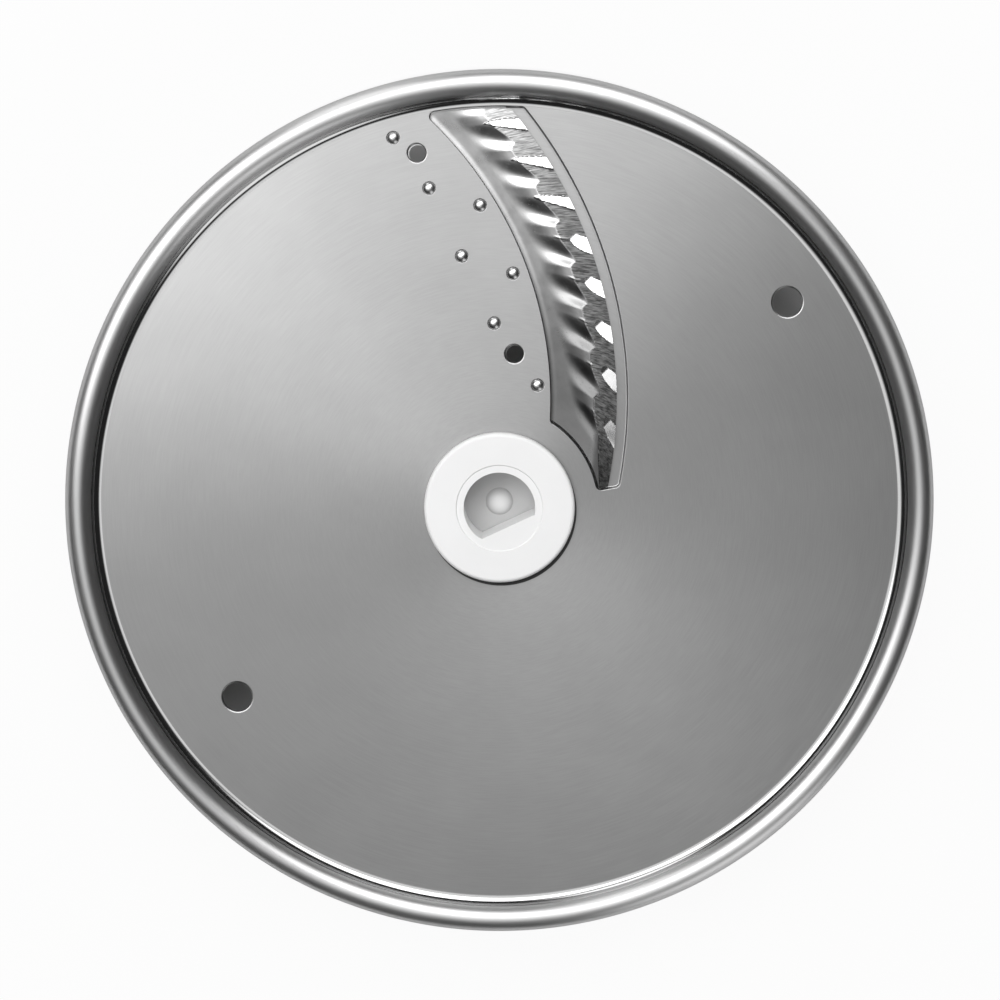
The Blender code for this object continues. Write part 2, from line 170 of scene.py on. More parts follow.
def turned(name: str, profile: Profile, steps: int, closed: bool = False, place: Point = (0.0, 0.0)) -> Piece:
    """Draw a profile by extruding a vertex, and spin it about a vertical axis.

    Args:
        name: Name of the new object.
        profile: The (radius, height) points of the section.
        steps: Number of facets round the axis.
        closed: Whether the last point joins the first.
        place: The (x, y) place of the axis.

    Returns:
        The turned object, in object mode.
    """
    clear_selection()
    bpy.ops.mesh.primitive_plane_add(size=MM, location=(0.0, 0.0, 0.0))
    piece = bpy.context.object
    piece.name = name
    bpy.ops.object.mode_set(mode="EDIT")
    bpy.ops.mesh.select_mode(type="VERT")
    pick_all()
    bpy.ops.mesh.merge(type="CENTER")
    radius, height = profile[0]
    bpy.ops.transform.translate(value=(radius, 0.0, height))
    path = profile[1:] + (profile[:1] if closed else [])
    for next_radius, next_height in path:
        step = (next_radius - radius, 0.0, next_height - height)
        bpy.ops.mesh.extrude_region_move(TRANSFORM_OT_translate={"value": step})
        radius, height = next_radius, next_height
    pick_all()
    bpy.ops.mesh.remove_doubles(threshold=MERGE)
    pick_all()
    bpy.ops.mesh.spin(steps=steps, angle=math.tau, center=(0.0, 0.0, 0.0), axis=(0.0, 0.0, 1.0))
    pick_all()
    bpy.ops.mesh.remove_doubles(threshold=MERGE)
    bpy.ops.mesh.normals_make_consistent(inside=False)
    bpy.ops.transform.translate(value=(place[0], place[1], 0.0))
    leave_edit()
    return piece


def laid(name: str, columns: int, rows: int, place: Callable[[int, int], Point3]) -> Piece:
    """Add a grid and lay it on a surface.

    Args:
        name: Name of the new object.
        columns: Number of faces along its first side.
        rows: Number of faces along its second side.
        place: Gives a vertex its place from its column and row.

    Returns:
        The laid grid.
    """
    clear_selection()
    bpy.ops.mesh.primitive_grid_add(x_subdivisions=columns, y_subdivisions=rows, size=1.0)
    sheet = bpy.context.object
    sheet.name = name
    for vertex in sheet.data.vertices:
        column = round((vertex.co.x + 0.5) * columns)
        row = round((vertex.co.y + 0.5) * rows)
        vertex.co = place(column, row)
    return sheet


def tower(name: str, outline: list["EdgePoint"], steps: Profile) -> Piece:
    """Stand a solid on an outline, let out or drawn in by a margin at each height.

    Args:
        name: Name of the new object.
        outline: The outline's points with the way out of each.
        steps: The (margin, height) pairs from foot to top.

    Returns:
        The closed solid.
    """
    def place(column: int, row: int) -> Point3:
        """Place of one vertex of the wall."""
        point, (margin, height) = outline[column % len(outline)], steps[row]
        return (point.x + point.out_x * margin, point.y + point.out_y * margin, height)

    block = laid(name, len(outline), len(steps) - 1, place)
    edit(block)
    pick_all()
    bpy.ops.mesh.remove_doubles(threshold=MERGE)
    for level in (steps[0][1], steps[-1][1]):
        pick_edges(block, lambda edge: len(edge.link_faces) == 1
                   and all(abs(vertex.co.z - level) < MERGE for vertex in edge.verts))
        bpy.ops.mesh.edge_face_add()
    pick_all()
    bpy.ops.mesh.normals_make_consistent(inside=False)
    leave_edit()
    return block


def peg(name: str, radius: float, bottom: float, top: float, steps: int, place: Point = (0.0, 0.0)) -> Piece:
    """Add an upright cylinder, used as a tool."""
    return turned(name, [(0.0, bottom), (radius, bottom), (radius, top), (0.0, top)], steps, place=place)


def quarter(stretches: int) -> list[float]:
    """Even turns from 0 to a right angle, both included."""
    return [math.radians(90.0 * step / stretches) for step in range(stretches + 1)]


def rounded_steps(base: float, edge: float, stretches: int) -> Profile:
    """The (margin, height) steps of a rounded foot, from its flat bottom to its upright wall."""
    return [(-edge * (1.0 - math.sin(turn)), base + edge * (1.0 - math.cos(turn))) for turn in quarter(stretches)]


def eased_steps(top: float, ease: float, depth: float) -> Profile:
    """The (margin, height) steps by which a cutting tool flares where it leaves the sheet.

    Args:
        top: Height of the surface that it leaves through.
        ease: Width of the eased edge.
        depth: Depth of the eased edge.

    Returns:
        The steps, from the straight wall up and past the surface.
    """
    over = EASE_OVER * depth
    steps = [(ease * (1.0 - math.cos(turn)), top - depth * (1.0 - math.sin(turn)) + over) for turn in quarter(5)]
    return steps + [(ease, top + CUT_PAST)]


def keep_flat(piece: Piece) -> None:
    """Mark the edges where flat level faces meet cuts as sharp, so that shading stays flat there.

    Args:
        piece: The object to mark.
    """
    def borders(edge: bmesh.types.BMEdge) -> bool:
        """Whether one side of an edge is level and the other leans."""
        leans = [abs(face.normal.z) < LEVEL_NORMAL for face in edge.link_faces]
        return len(leans) == 2 and leans[0] != leans[1] and edge.calc_face_angle(0.0) > FLAT_ANGLE

    edit(piece)
    pick_edges(piece, borders)
    bpy.ops.mesh.mark_sharp()
    leave_edit()


def smooth(piece: Piece, angle: float = SMOOTH_ANGLE) -> None:
    """Shade round faces smooth and keep flat faces flat up to their edges.

    Args:
        piece: The object to shade.
        angle: Edges sharper than this many degrees stay sharp.
    """
    take(piece)
    bpy.ops.object.shade_smooth_by_angle(angle=math.radians(angle))
    modifier = piece.modifiers.new("Even shading", "WEIGHTED_NORMAL")
    modifier.keep_sharp = True
    bpy.ops.object.modifier_apply(modifier=modifier.name)


def coat(piece: Piece, *finishes: Finish) -> None:
    """Give a piece its materials, the first of them all over.

    Args:
        piece: The object.
        finishes: Its materials, in the order of their indices.
    """
    piece.data.materials.clear()
    for finish in finishes:
        piece.data.materials.append(finish)


def install(piece: Piece, slot: Slot, nodes: list[str]) -> None:
    """Hand a finished piece to the frame.

    Args:
        piece: The finished object.
        slot: The record's material slot; not used.
        nodes: The solids that the piece stands for.
    """
    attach(piece, BODY)
    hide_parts(*nodes)
    LOG.info("%s: %d faces, stands for %s", piece.name, len(piece.data.polygons), ", ".join(nodes))


# Shader building blocks


class Nodes:
    """A short way to add and link shader nodes in one tree."""

    def __init__(self, tree: bpy.types.NodeTree) -> None:
        """Work on a node tree."""
        self.tree = tree

    def add(self, kind: str, inputs: dict | None = None, **settings: object) -> bpy.types.Node:
        """Add a node, set its properties, and feed or set its inputs.

        Args:
            kind: The node's type name.
            inputs: Values or output sockets for the node's inputs, by name or index.
            settings: Properties of the node.

        Returns:
            The new node.
        """
        node = self.tree.nodes.new(kind)
        for key, value in settings.items():
            setattr(node, key, value)
        self.feed(node, inputs or {})
        return node

    def feed(self, node: bpy.types.Node, inputs: dict) -> None:
        """Link or set inputs of a node.

        Args:
            node: The node.
            inputs: Values or output sockets, by the name or index of the input.
        """
        for key, value in inputs.items():
            if isinstance(value, Socket):
                self.tree.links.new(value, node.inputs[key])
            else:
                node.inputs[key].default_value = value

    def math(self, operation: str, *values: object) -> Socket:
        """Add a Math node."""
        return self.add("ShaderNodeMath", dict(enumerate(values)), operation=operation).outputs[0]

    def ramp(self, value: object, low: float, high: float, start: float, end: float) -> Socket:
        """Map one range of values smoothly to another."""
        inputs = {"Value": value, "From Min": low, "From Max": high, "To Min": start, "To Max": end}
        return self.add("ShaderNodeMapRange", inputs, interpolation_type="SMOOTHSTEP").outputs["Result"]

    def spread(self, pattern: Socket, low: float, high: float) -> Socket:
        """Spread the middle part of a noise pattern over a range of values."""
        return self.ramp(pattern, *PATTERN_MIDDLE, low, high)

    def noise(self, vector: object, scale: object, detail: float, roughness: float = 0.5) -> Socket:
        """Add a noise pattern."""
        inputs = {"Vector": vector, "Scale": scale, "Detail": detail, "Roughness": roughness}
        return self.add("ShaderNodeTexNoise", inputs).outputs["Fac"]

    def length(self, vector: Socket) -> Socket:
        """The length of a vector."""
        return self.add("ShaderNodeVectorMath", {0: vector}, operation="LENGTH").outputs["Value"]

    def flat(self, vector: Socket) -> tuple[Socket, Socket]:
        """The level part of a vector, and its height."""
        split = self.add("ShaderNodeSeparateXYZ", {"Vector": vector}).outputs
        return self.add("ShaderNodeCombineXYZ", {"X": split["X"], "Y": split["Y"]}).outputs[0], split["Z"]

    def grey(self, value: Socket) -> Socket:
        """A neutral colour of varying brightness."""
        return self.add("ShaderNodeCombineColor", {"Red": value, "Green": value, "Blue": value}).outputs[0]


def new_group(name: str, inputs: dict[str, float], outputs: list[str]) -> tuple[bpy.types.NodeTree, Nodes]:
    """Start a shader node group with named number sockets and a Vector input.

    Args:
        name: Name of the group.
        inputs: Number inputs and their default values.
        outputs: Number outputs.

    Returns:
        The group's tree, and a helper that works on it.
    """
    tree = bpy.data.node_groups.new(name, "ShaderNodeTree")
    tree.interface.new_socket("Vector", in_out="INPUT", socket_type="NodeSocketVector")
    for label, value in inputs.items():
        socket = tree.interface.new_socket(label, in_out="INPUT", socket_type="NodeSocketFloat")
        socket.default_value = value
    for label in outputs:
        tree.interface.new_socket(label, in_out="OUTPUT", socket_type="NodeSocketFloat")
    return tree, Nodes(tree)


def turned_grain_group() -> bpy.types.NodeTree:
    """Fine marks that run in circles about the disc's axis, as a buffing wheel leaves them.

    Returns:
        A group that gives a Grain value from 0 to 1 from Object coordinates in metres.
    """
    tree, nodes = new_group("turned_grain", {"Fineness": 4000.0, "Length": 14.0}, ["Grain"])
    source = nodes.add("NodeGroupInput")
    flat, height = nodes.flat(source.outputs["Vector"])
    unit = nodes.add("ShaderNodeVectorMath", {0: flat}, operation="NORMALIZE")
    around = nodes.add("ShaderNodeSeparateXYZ", {"Vector": unit.outputs[0]}).outputs
    across = nodes.math("MULTIPLY", nodes.length(flat), source.outputs["Fineness"])
    swept = nodes.add("ShaderNodeCombineXYZ", {
        "X": nodes.math("MULTIPLY", around["X"], source.outputs["Length"]),
        "Y": nodes.math("MULTIPLY", around["Y"], source.outputs["Length"]),
        "Z": nodes.math("ADD", across, nodes.math("MULTIPLY", height, source.outputs["Fineness"])),
    })
    grain = nodes.noise(swept.outputs[0], 1.0, 3.0, 0.6)
    nodes.add("NodeGroupOutput", {"Grain": grain})
    return tree


def mottle_group() -> bpy.types.NodeTree:
    """Soft uneven patches and fine specks of handled metal or moulded plastic.

    Returns:
        A group that gives Patches and Specks from 0 to 1 from Object coordinates in metres.
    """
    tree, nodes = new_group("mottle", {"Patch Scale": 60.0, "Speck Scale": 900.0, "Speck Share": 0.3},
                            ["Patches", "Specks"])
    source = nodes.add("NodeGroupInput")
    patches = nodes.noise(source.outputs["Vector"], source.outputs["Patch Scale"], 3.0)
    inputs = {"Vector": source.outputs["Vector"], "Scale": source.outputs["Speck Scale"]}
    cells = nodes.add("ShaderNodeTexVoronoi", inputs, feature="F1")
    near = nodes.math("LESS_THAN", cells.outputs["Distance"], source.outputs["Speck Share"])
    nodes.add("NodeGroupOutput", {"Patches": patches, "Specks": near})
    return tree


def new_material(name: str) -> tuple[Finish, Nodes, bpy.types.Node, Socket]:
    """Start a material with a Principled shader.

    Args:
        name: Name of the material.

    Returns:
        The material, a helper for its tree, the shader, and the Object coordinates socket.
    """
    material = bpy.data.materials.new(name)
    material.use_nodes = True
    nodes = Nodes(material.node_tree)
    shader = material.node_tree.nodes["Principled BSDF"]
    place = nodes.add("ShaderNodeTexCoord").outputs["Object"]
    return material, nodes, shader, place


def grey(value: float) -> tuple[float, float, float, float]:
    """A neutral colour."""
    return (value, value, value, 1.0)


@dataclass(frozen=True)
class TurnedSteel:
    """Stainless steel with marks in circles about the disc's axis."""

    name: str
    colour: float = 0.38
    roughness: float = 0.42
    roughness_spread: float = 0.02
    anisotropy: float = 0.85
    colour_spread: float = 0.012
    grain_height: float = 0.0001 * MM
    grain_fineness: float = 4200.0
    grain_length: float = 10.0
    blur_turn: float = 0.25
    cloud: float = 0.02

    def build(self, grain: bpy.types.NodeTree, mottle: bpy.types.NodeTree) -> Finish:
        """Make the material.

        Args:
            grain: The turned_grain group.
            mottle: The mottle group.

        Returns:
            The material.
        """
        material, nodes, shader, place = new_material(self.name)
        inputs = {"Vector": place, "Fineness": self.grain_fineness, "Length": self.grain_length}
        line = nodes.add("ShaderNodeGroup", inputs, node_tree=grain).outputs["Grain"]
        wear = nodes.add("ShaderNodeGroup", {"Vector": place}, node_tree=mottle)
        tone = nodes.spread(line, self.colour - self.colour_spread, self.colour + self.colour_spread)
        cloud = nodes.spread(wear.outputs["Patches"], 1.0 - self.cloud, 1.0 + self.cloud)
        spread = self.roughness_spread
        bump = nodes.add("ShaderNodeBump", {"Strength": 1.0, "Distance": self.grain_height, "Height": line})
        nodes.feed(shader, {
            "Base Color": nodes.grey(nodes.math("MULTIPLY", tone, cloud)),
            "Roughness": nodes.ramp(line, 0.25, 0.75, self.roughness - spread, self.roughness + spread),
            "Normal": bump.outputs["Normal"],
            "Metallic": 1.0,
            "Anisotropic": self.anisotropy,
            "Anisotropic Rotation": self.blur_turn,
        })
        return material


@dataclass(frozen=True)
class PressedSteel:
    """Bright rolled knife steel with faint handling specks, and painted shade that darkens it towards the hub."""

    name: str
    colour: float = 0.62
    roughness: float = 0.22
    roughness_spread: float = 0.03
    cloud: float = 0.05
    specks: float = 0.2
    # Painted shade: near the hub the colour is multiplied by this, rising to full colour at the far radius.
    painted_hub_shade: float = 1.0
    painted_hub_shade_from: float = 35.0 * MM
    painted_hub_shade_to: float = 90.0 * MM

    def build(self, mottle: bpy.types.NodeTree) -> Finish:
        """Make the material.

        Args:
            mottle: The mottle group.

        Returns:
            The material.
        """
        material, nodes, shader, place = new_material(self.name)
        inputs = {"Vector": place, "Patch Scale": 220.0, "Speck Scale": 1500.0, "Speck Share": 0.16}
        wear = nodes.add("ShaderNodeGroup", inputs, node_tree=mottle).outputs
        value = nodes.spread(wear["Patches"], self.colour - self.cloud, self.colour + self.cloud)
        # Painted shade: darker towards the axis, full colour from the far radius on.
        painted_hub_shade = nodes.ramp(nodes.length(place), self.painted_hub_shade_from, self.painted_hub_shade_to, self.painted_hub_shade, 1.0)
        low, high = self.roughness - self.roughness_spread, self.roughness + self.roughness_spread
        rough = nodes.spread(wear["Patches"], low, high)
        nodes.feed(shader, {
            "Base Color": nodes.grey(nodes.math("MULTIPLY", value, painted_hub_shade)),
            "Roughness": nodes.math("ADD", rough, nodes.math("MULTIPLY", wear["Specks"], self.specks)),
            "Metallic": 1.0,
        })
        return material


@dataclass(frozen=True)
class MouldedPlastic:
    """White moulded plastic with a faint satin texture, and painted shade that darkens the floor and lower walls
    of the socket.
    """

    name: str
    colour: float = 0.85
    roughness: float = 0.42
    roughness_spread: float = 0.05
    cloud: float = 0.015
    texture_height: float = 0.004 * MM
    # Painted shade in the socket: below a height and within a radius of the axis, the colour drops to this tone.
    socket_shade_tone: float = 0.62
    socket_shade_from: float = 10.1 * MM
    socket_shade_to: float = 12.3 * MM
    socket_shade_reach: float = 8.6 * MM
    socket_shade_end: float = 9.0 * MM

    def build(self, mottle: bpy.types.NodeTree) -> Finish:
        """Make the material.

        Args:
            mottle: The mottle group.

        Returns:
            The material.
        """
        material, nodes, shader, place = new_material(self.name)
        patches = nodes.add("ShaderNodeGroup", {"Vector": place}, node_tree=mottle).outputs["Patches"]
        value = nodes.spread(patches, self.colour * (1.0 - self.cloud), self.colour * (1.0 + self.cloud))
        flat, height = nodes.flat(place)
        # Painted shade: darker low down inside the socket, full colour above it and outside its radius.
        socket_shade = nodes.ramp(height, self.socket_shade_from, self.socket_shade_to, self.socket_shade_tone, 1.0)
        outside = nodes.ramp(nodes.length(flat), self.socket_shade_reach, self.socket_shade_end, 0.0, 1.0)
        fine = nodes.noise(place, 2600.0, 2.0)
        spread = self.roughness_spread
        bump = nodes.add("ShaderNodeBump", {"Strength": 1.0, "Distance": self.texture_height, "Height": fine})
        nodes.feed(shader, {
            "Base Color": nodes.grey(nodes.math("MULTIPLY", value, nodes.math("MAXIMUM", socket_shade, outside))),
            "Roughness": nodes.spread(fine, self.roughness - spread, self.roughness + spread),
            "Normal": bump.outputs["Normal"],
            "Specular IOR Level": 0.4,
        })
        return material


# The object's pieces


@dataclass(frozen=True)
class EdgePoint:
    """A point of an outline and the way out of the outline there."""

    x: float
    y: float
    out_x: float
    out_y: float


@dataclass(frozen=True)
class BladeArcs:
    """The arcs about one centre, beside the axis, that bound the window and the blade."""

    seam: float = 90.7 * MM
    seam_offset: float = 8.3 * MM
    lean: float = math.radians(17.7)
    blade_reach: float = 15.4 * MM
    mouth: float = 2.6 * MM
    flange_width: float = 17.7 * MM
    hub_end: float = 23.4 * MM
    rim_end: float = 93.9 * MM
    end_angle: float = math.radians(80.5)

    @property
    def distance(self) -> float:
        """Distance of the arcs' centre from the axis."""
        return self.seam - self.seam_offset

    @property
    def centre(self) -> Point:
        """The (x, y) place of the arcs' centre."""
        return (-self.distance * math.cos(self.lean), self.distance * math.sin(self.lean))

    @property
    def edge(self) -> float:
        """Radius of the cutting edge's arc."""
        return self.seam + self.blade_reach

    @property
    def window(self) -> float:
        """Radius of the window's far side."""
        return self.edge + self.mouth

    def bearing(self, radius: float, arc_radius: float) -> float:
        """Clockwise angle from +Y where a circle about the axis meets an arc about the centre."""
        sine = (arc_radius ** 2 - radius ** 2 - self.distance ** 2) / (2.0 * self.distance * radius)
        return self.lean + math.asin(max(-1.0, min(1.0, sine)))

    def at(self, radius: float, angle: float) -> Vector:
        """The point at a radius and a clockwise angle from +Y."""
        return Vector((radius * math.sin(angle), radius * math.cos(angle)))

    def crossing(self, radius: float, arc_radius: float) -> Vector:
        """The point where a circle about the axis meets an arc about the centre."""
        return self.at(radius, self.bearing(radius, arc_radius))

    def outline(
        self, inner: float, outer: float, rim: float, hub: float, end_angle: float,
        outer_corner: float, inner_corner: float,
    ) -> list[EdgePoint]:
        """Outline between two arcs about the centre, a rim circle, a hub circle and an end ray.

        Args:
            inner: Radius of the arc on the flange side.
            outer: Radius of the arc on the far side.
            rim: Radius of the circle at the rim end.
            hub: Radius of the circle at the hub end.
            end_angle: Clockwise angle of the ray at the hub end.
            outer_corner: Radius of the corners on the far side.
            inner_corner: Radius of the other corners.

        Returns:
            The points in clockwise order.
        """
        axis = Vector((0.0, 0.0))
        centre = Vector(self.centre)
        ray = self.at(1.0, end_angle)
        inward = Vector((-ray.y, ray.x))

        def on_ray(arc_radius: float, corner: float) -> Vector:
            """Middle of the corner between the ray and an arc about the centre.

            Args:
                arc_radius: Radius of the arc that the middle lies on.
                corner: Radius of the corner.

            Returns:
                The corner's middle.
            """
            lean = corner * inward - centre
            along = -ray.dot(lean) + math.sqrt(ray.dot(lean) ** 2 - lean.length_squared + arc_radius ** 2)
            return ray * along + inward * corner

        rounds = [
            (self.crossing(rim - outer_corner, outer - outer_corner), outer_corner),
            (on_ray(outer - outer_corner, outer_corner), outer_corner),
        ]
        sides = [(centre, 1.0, 200), (None, 1.0, 12)]
        if self.bearing(hub, inner) < end_angle:
            foot = math.sqrt((hub + inner_corner) ** 2 - inner_corner ** 2)
            rounds.append((ray * foot + inward * inner_corner, inner_corner))
            rounds.append((self.crossing(hub + inner_corner, inner + inner_corner), inner_corner))
            sides.append((axis, -1.0, 40))
        else:
            rounds.append((on_ray(inner + inner_corner, inner_corner), inner_corner))
        rounds.append((self.crossing(rim - inner_corner, inner + inner_corner), inner_corner))
        sides += [(centre, -1.0, 200), (axis, 1.0, 60)]
        points = []
        for index, (middle, side, steps) in enumerate(sides):
            start, start_corner = rounds[index]
            finish, finish_corner = rounds[(index + 1) % len(rounds)]
            ends = []
            for spot, corner in ((start, start_corner), (finish, finish_corner)):
                away = -inward if middle is None else (spot - middle).normalized() * side
                ends.append((spot + away * corner, away))
            points += self.side_points(middle, side, ends, steps)
            next_middle, next_side, _ = sides[(index + 1) % len(sides)]
            away = -inward if next_middle is None else (finish - next_middle).normalized() * next_side
            sweep = ends[1][1].angle_signed(away)
            for step in range(1, 10):
                turn = ends[1][1].copy()
                turn.rotate(Matrix.Rotation(-sweep * step / 10, 2))
                spot = finish + turn * finish_corner
                points.append(EdgePoint(spot.x, spot.y, turn.x, turn.y))
        return points

    @staticmethod
    def side_points(
        middle: Vector | None, side: float, ends: list[tuple[Vector, Vector]], steps: int
    ) -> list[EdgePoint]:
        """Points along one side of an outline.

        Args:
            middle: Middle of the side's arc, or None for a straight side.
            side: 1 where the arc's middle lies inside the outline, else -1.
            ends: The end points and the way out at each.
            steps: Number of stretches.

        Returns:
            The points, both ends included.
        """
        (first, first_out), (last, _) = ends
        points = []
        for step in range(steps + 1):
            share = step / steps
            if middle is None:
                spot, away = first.lerp(last, share), first_out
            else:
                spoke = first - middle
                sweep = spoke.angle_signed(last - middle)
                spoke.rotate(Matrix.Rotation(-sweep * share, 2))
                spot, away = middle + spoke, spoke.normalized() * side
            points.append(EdgePoint(spot.x, spot.y, away.x, away.y))
        return points


@dataclass
class DiscPlate:
    """The sheet: flat web, fillet, rolled rim, window with its sunk shelf, and holes."""

    arcs: BladeArcs
    radius: float
    top: float
    sheet: float = 1.2 * MM
    hub_hole: float = 12.3 * MM
    bead: float = 3.1 * MM
    bead_lift: float = 1.2 * MM
    fillet: float = 2.2 * MM
    fillet_lead: float = 0.4 * MM
    curl_end: float = math.radians(-140.0)
    shelf_drop: float = 1.5 * MM
    shelf_underlap: float = 0.7 * MM
    shelf_wall: float = 1.0 * MM
    shelf_round: float = 0.6 * MM
    window_corner: float = 1.2 * MM
    edge_ease: float = 0.3 * MM
    hole_ease: float = 0.5 * MM
    ease_depth: float = 0.25 * MM
    rivet_hole: float = 1.3 * MM
    rivet_sink_radius: float = 1.46 * MM
    rivet_ease: float = 0.22 * MM
    rivet_sink_depth: float = 0.6 * MM
    pilot_radius: float = 2.1 * MM
    lift_radius: float = 3.5 * MM
    finish_lead: float = 0.05 * MM
    sink_facets: int = 40
    hole_facets: int = 72
    steps: int = 540

    @property
    def web_radius(self) -> float:
        """Radius at which the flat web turns up into the fillet."""
        reach = math.sqrt((self.bead + self.fillet) ** 2 - (self.fillet - self.bead_lift) ** 2)
        return self.radius - self.bead - reach

    def section(self) -> Profile:
        """Closed (radius, height) section of the sheet, from the hub's hole round the rim and back.

        Returns:
            The section's points.
        """
        fillet_centre = (self.web_radius, self.top + self.fillet)
        bead_centre = (self.radius - self.bead, self.top + self.bead_lift)
        join = math.atan2(bead_centre[1] - fillet_centre[1], bead_centre[0] - fillet_centre[0])
        flat = -math.pi / 2.0
        over = join + math.pi
        profile = [(self.hub_hole, self.top), (self.web_radius - self.fillet_lead, self.top)]
        profile += arc(fillet_centre, self.fillet, flat, join, 10)
        profile += arc(bead_centre, self.bead, over, self.curl_end, 44)[1:]
        profile += arc(bead_centre, self.bead - self.sheet, self.curl_end, over, 26)
        profile += arc(fillet_centre, self.fillet + self.sheet, join, flat, 10)[1:]
        under = self.top - self.sheet
        profile += [(self.web_radius - self.fillet_lead, under), (self.hub_hole, under)]
        return profile

    def build(self, rivets: list[Vector], pilots: list[Point], lifts: list[Point]) -> Piece:
        """Model the sheet.

        Args:
            rivets: Middles of the rivets.
            pilots: The (x, y) places of the pilot holes.
            lifts: The (x, y) places of the lifting holes.

        Returns:
            The finished mesh, without its materials.
        """
        arcs = self.arcs
        plate = turned("disc_sheet", self.section(), self.steps, closed=True)
        shelf_top = self.top - self.shelf_drop
        wall = self.shelf_wall
        edge = self.shelf_round
        pan_outline = arcs.outline(
            arcs.edge - self.shelf_underlap, arcs.window + wall, arcs.rim_end + wall, arcs.hub_end,
            arcs.end_angle + wall / arcs.hub_end, self.window_corner + wall, edge + 0.1 * MM,
        )
        pan_steps = rounded_steps(shelf_top - self.sheet, edge, 5) + [(0.0, self.top - self.sheet / 4.0)]
        pan = tower("shelf_pan", pan_outline, pan_steps)
        cut(plate, [pan], Cut.ADD)

        corner = self.window_corner
        window_outline = arcs.outline(
            arcs.seam, arcs.window, arcs.rim_end, arcs.hub_end, arcs.end_angle, corner, corner,
        )
        foot = rounded_steps(shelf_top, self.shelf_round / 2.0, 4)[:-1]
        low = self.top - self.sheet - CUT_PAST
        rim = eased_steps(self.top, self.edge_ease, self.ease_depth)
        tools = [tower("window_recess", window_outline, foot + rim)]
        tools += [self.rivet_tool(low, (middle.x, middle.y)) for middle in rivets]
        tools += [self.hole_tool(self.pilot_radius, low, place) for place in pilots]
        tools += [self.hole_tool(self.lift_radius, low, place) for place in lifts]
        cut(plate, tools, Cut.REMOVE)
        keep_flat(plate)
        smooth(plate)
        return plate

    def rivet_tool(self, low: float, place: Point) -> Piece:
        """Make the countersink and hole of one rivet.

        Args:
            low: Height of the tool's foot.
            place: The (x, y) place of the rivet.

        Returns:
            The tool.
        """
        radius = self.rivet_hole
        sink = (self.rivet_sink_radius, self.top - self.rivet_sink_depth)
        profile = [(0.0, low), (radius, low), (radius, sink[1]), sink]
        rim = eased_steps(self.top, self.rivet_ease, self.rivet_ease)
        profile += [(self.rivet_sink_radius + margin, height) for margin, height in rim]
        return turned("rivet_sink", profile + [(0.0, profile[-1][1])], self.sink_facets, place=place)

    def hole_tool(self, radius: float, low: float, place: Point) -> Piece:
        """Make a round hole's tool with an eased edge.

        Args:
            radius: Radius of the hole.
            low: Height of the tool's foot.
            place: The (x, y) place of the hole.

        Returns:
            The tool.
        """
        profile = [(0.0, low), (radius, low)]
        rim = eased_steps(self.top, self.hole_ease, self.ease_depth)
        profile += [(radius + margin, height) for margin, height in rim]
        return turned("hole", profile + [(0.0, profile[-1][1])], self.hole_facets, place=place)

    def dress(self, plate: Piece, web: Finish, rim: Finish, hollow: Finish) -> None:
        """Give the flat web its brushing, the rim its polish and the fillet between them its shine.

        Args:
            plate: The sheet.
            web: Finish of the web.
            rim: Finish of the rolled rim.
            hollow: Finish of the fillet.
        """
        coat(plate, web, rim, hollow)
        start = self.web_radius + self.finish_lead
        reach = self.radius - self.bead - self.web_radius
        end = self.web_radius + reach * self.fillet / (self.bead + self.fillet)
        for face in plate.data.polygons:
            distance = face.center.xy.length
            if distance > start:
                face.material_index = 2 if distance < end and face.center.z > self.top else 1


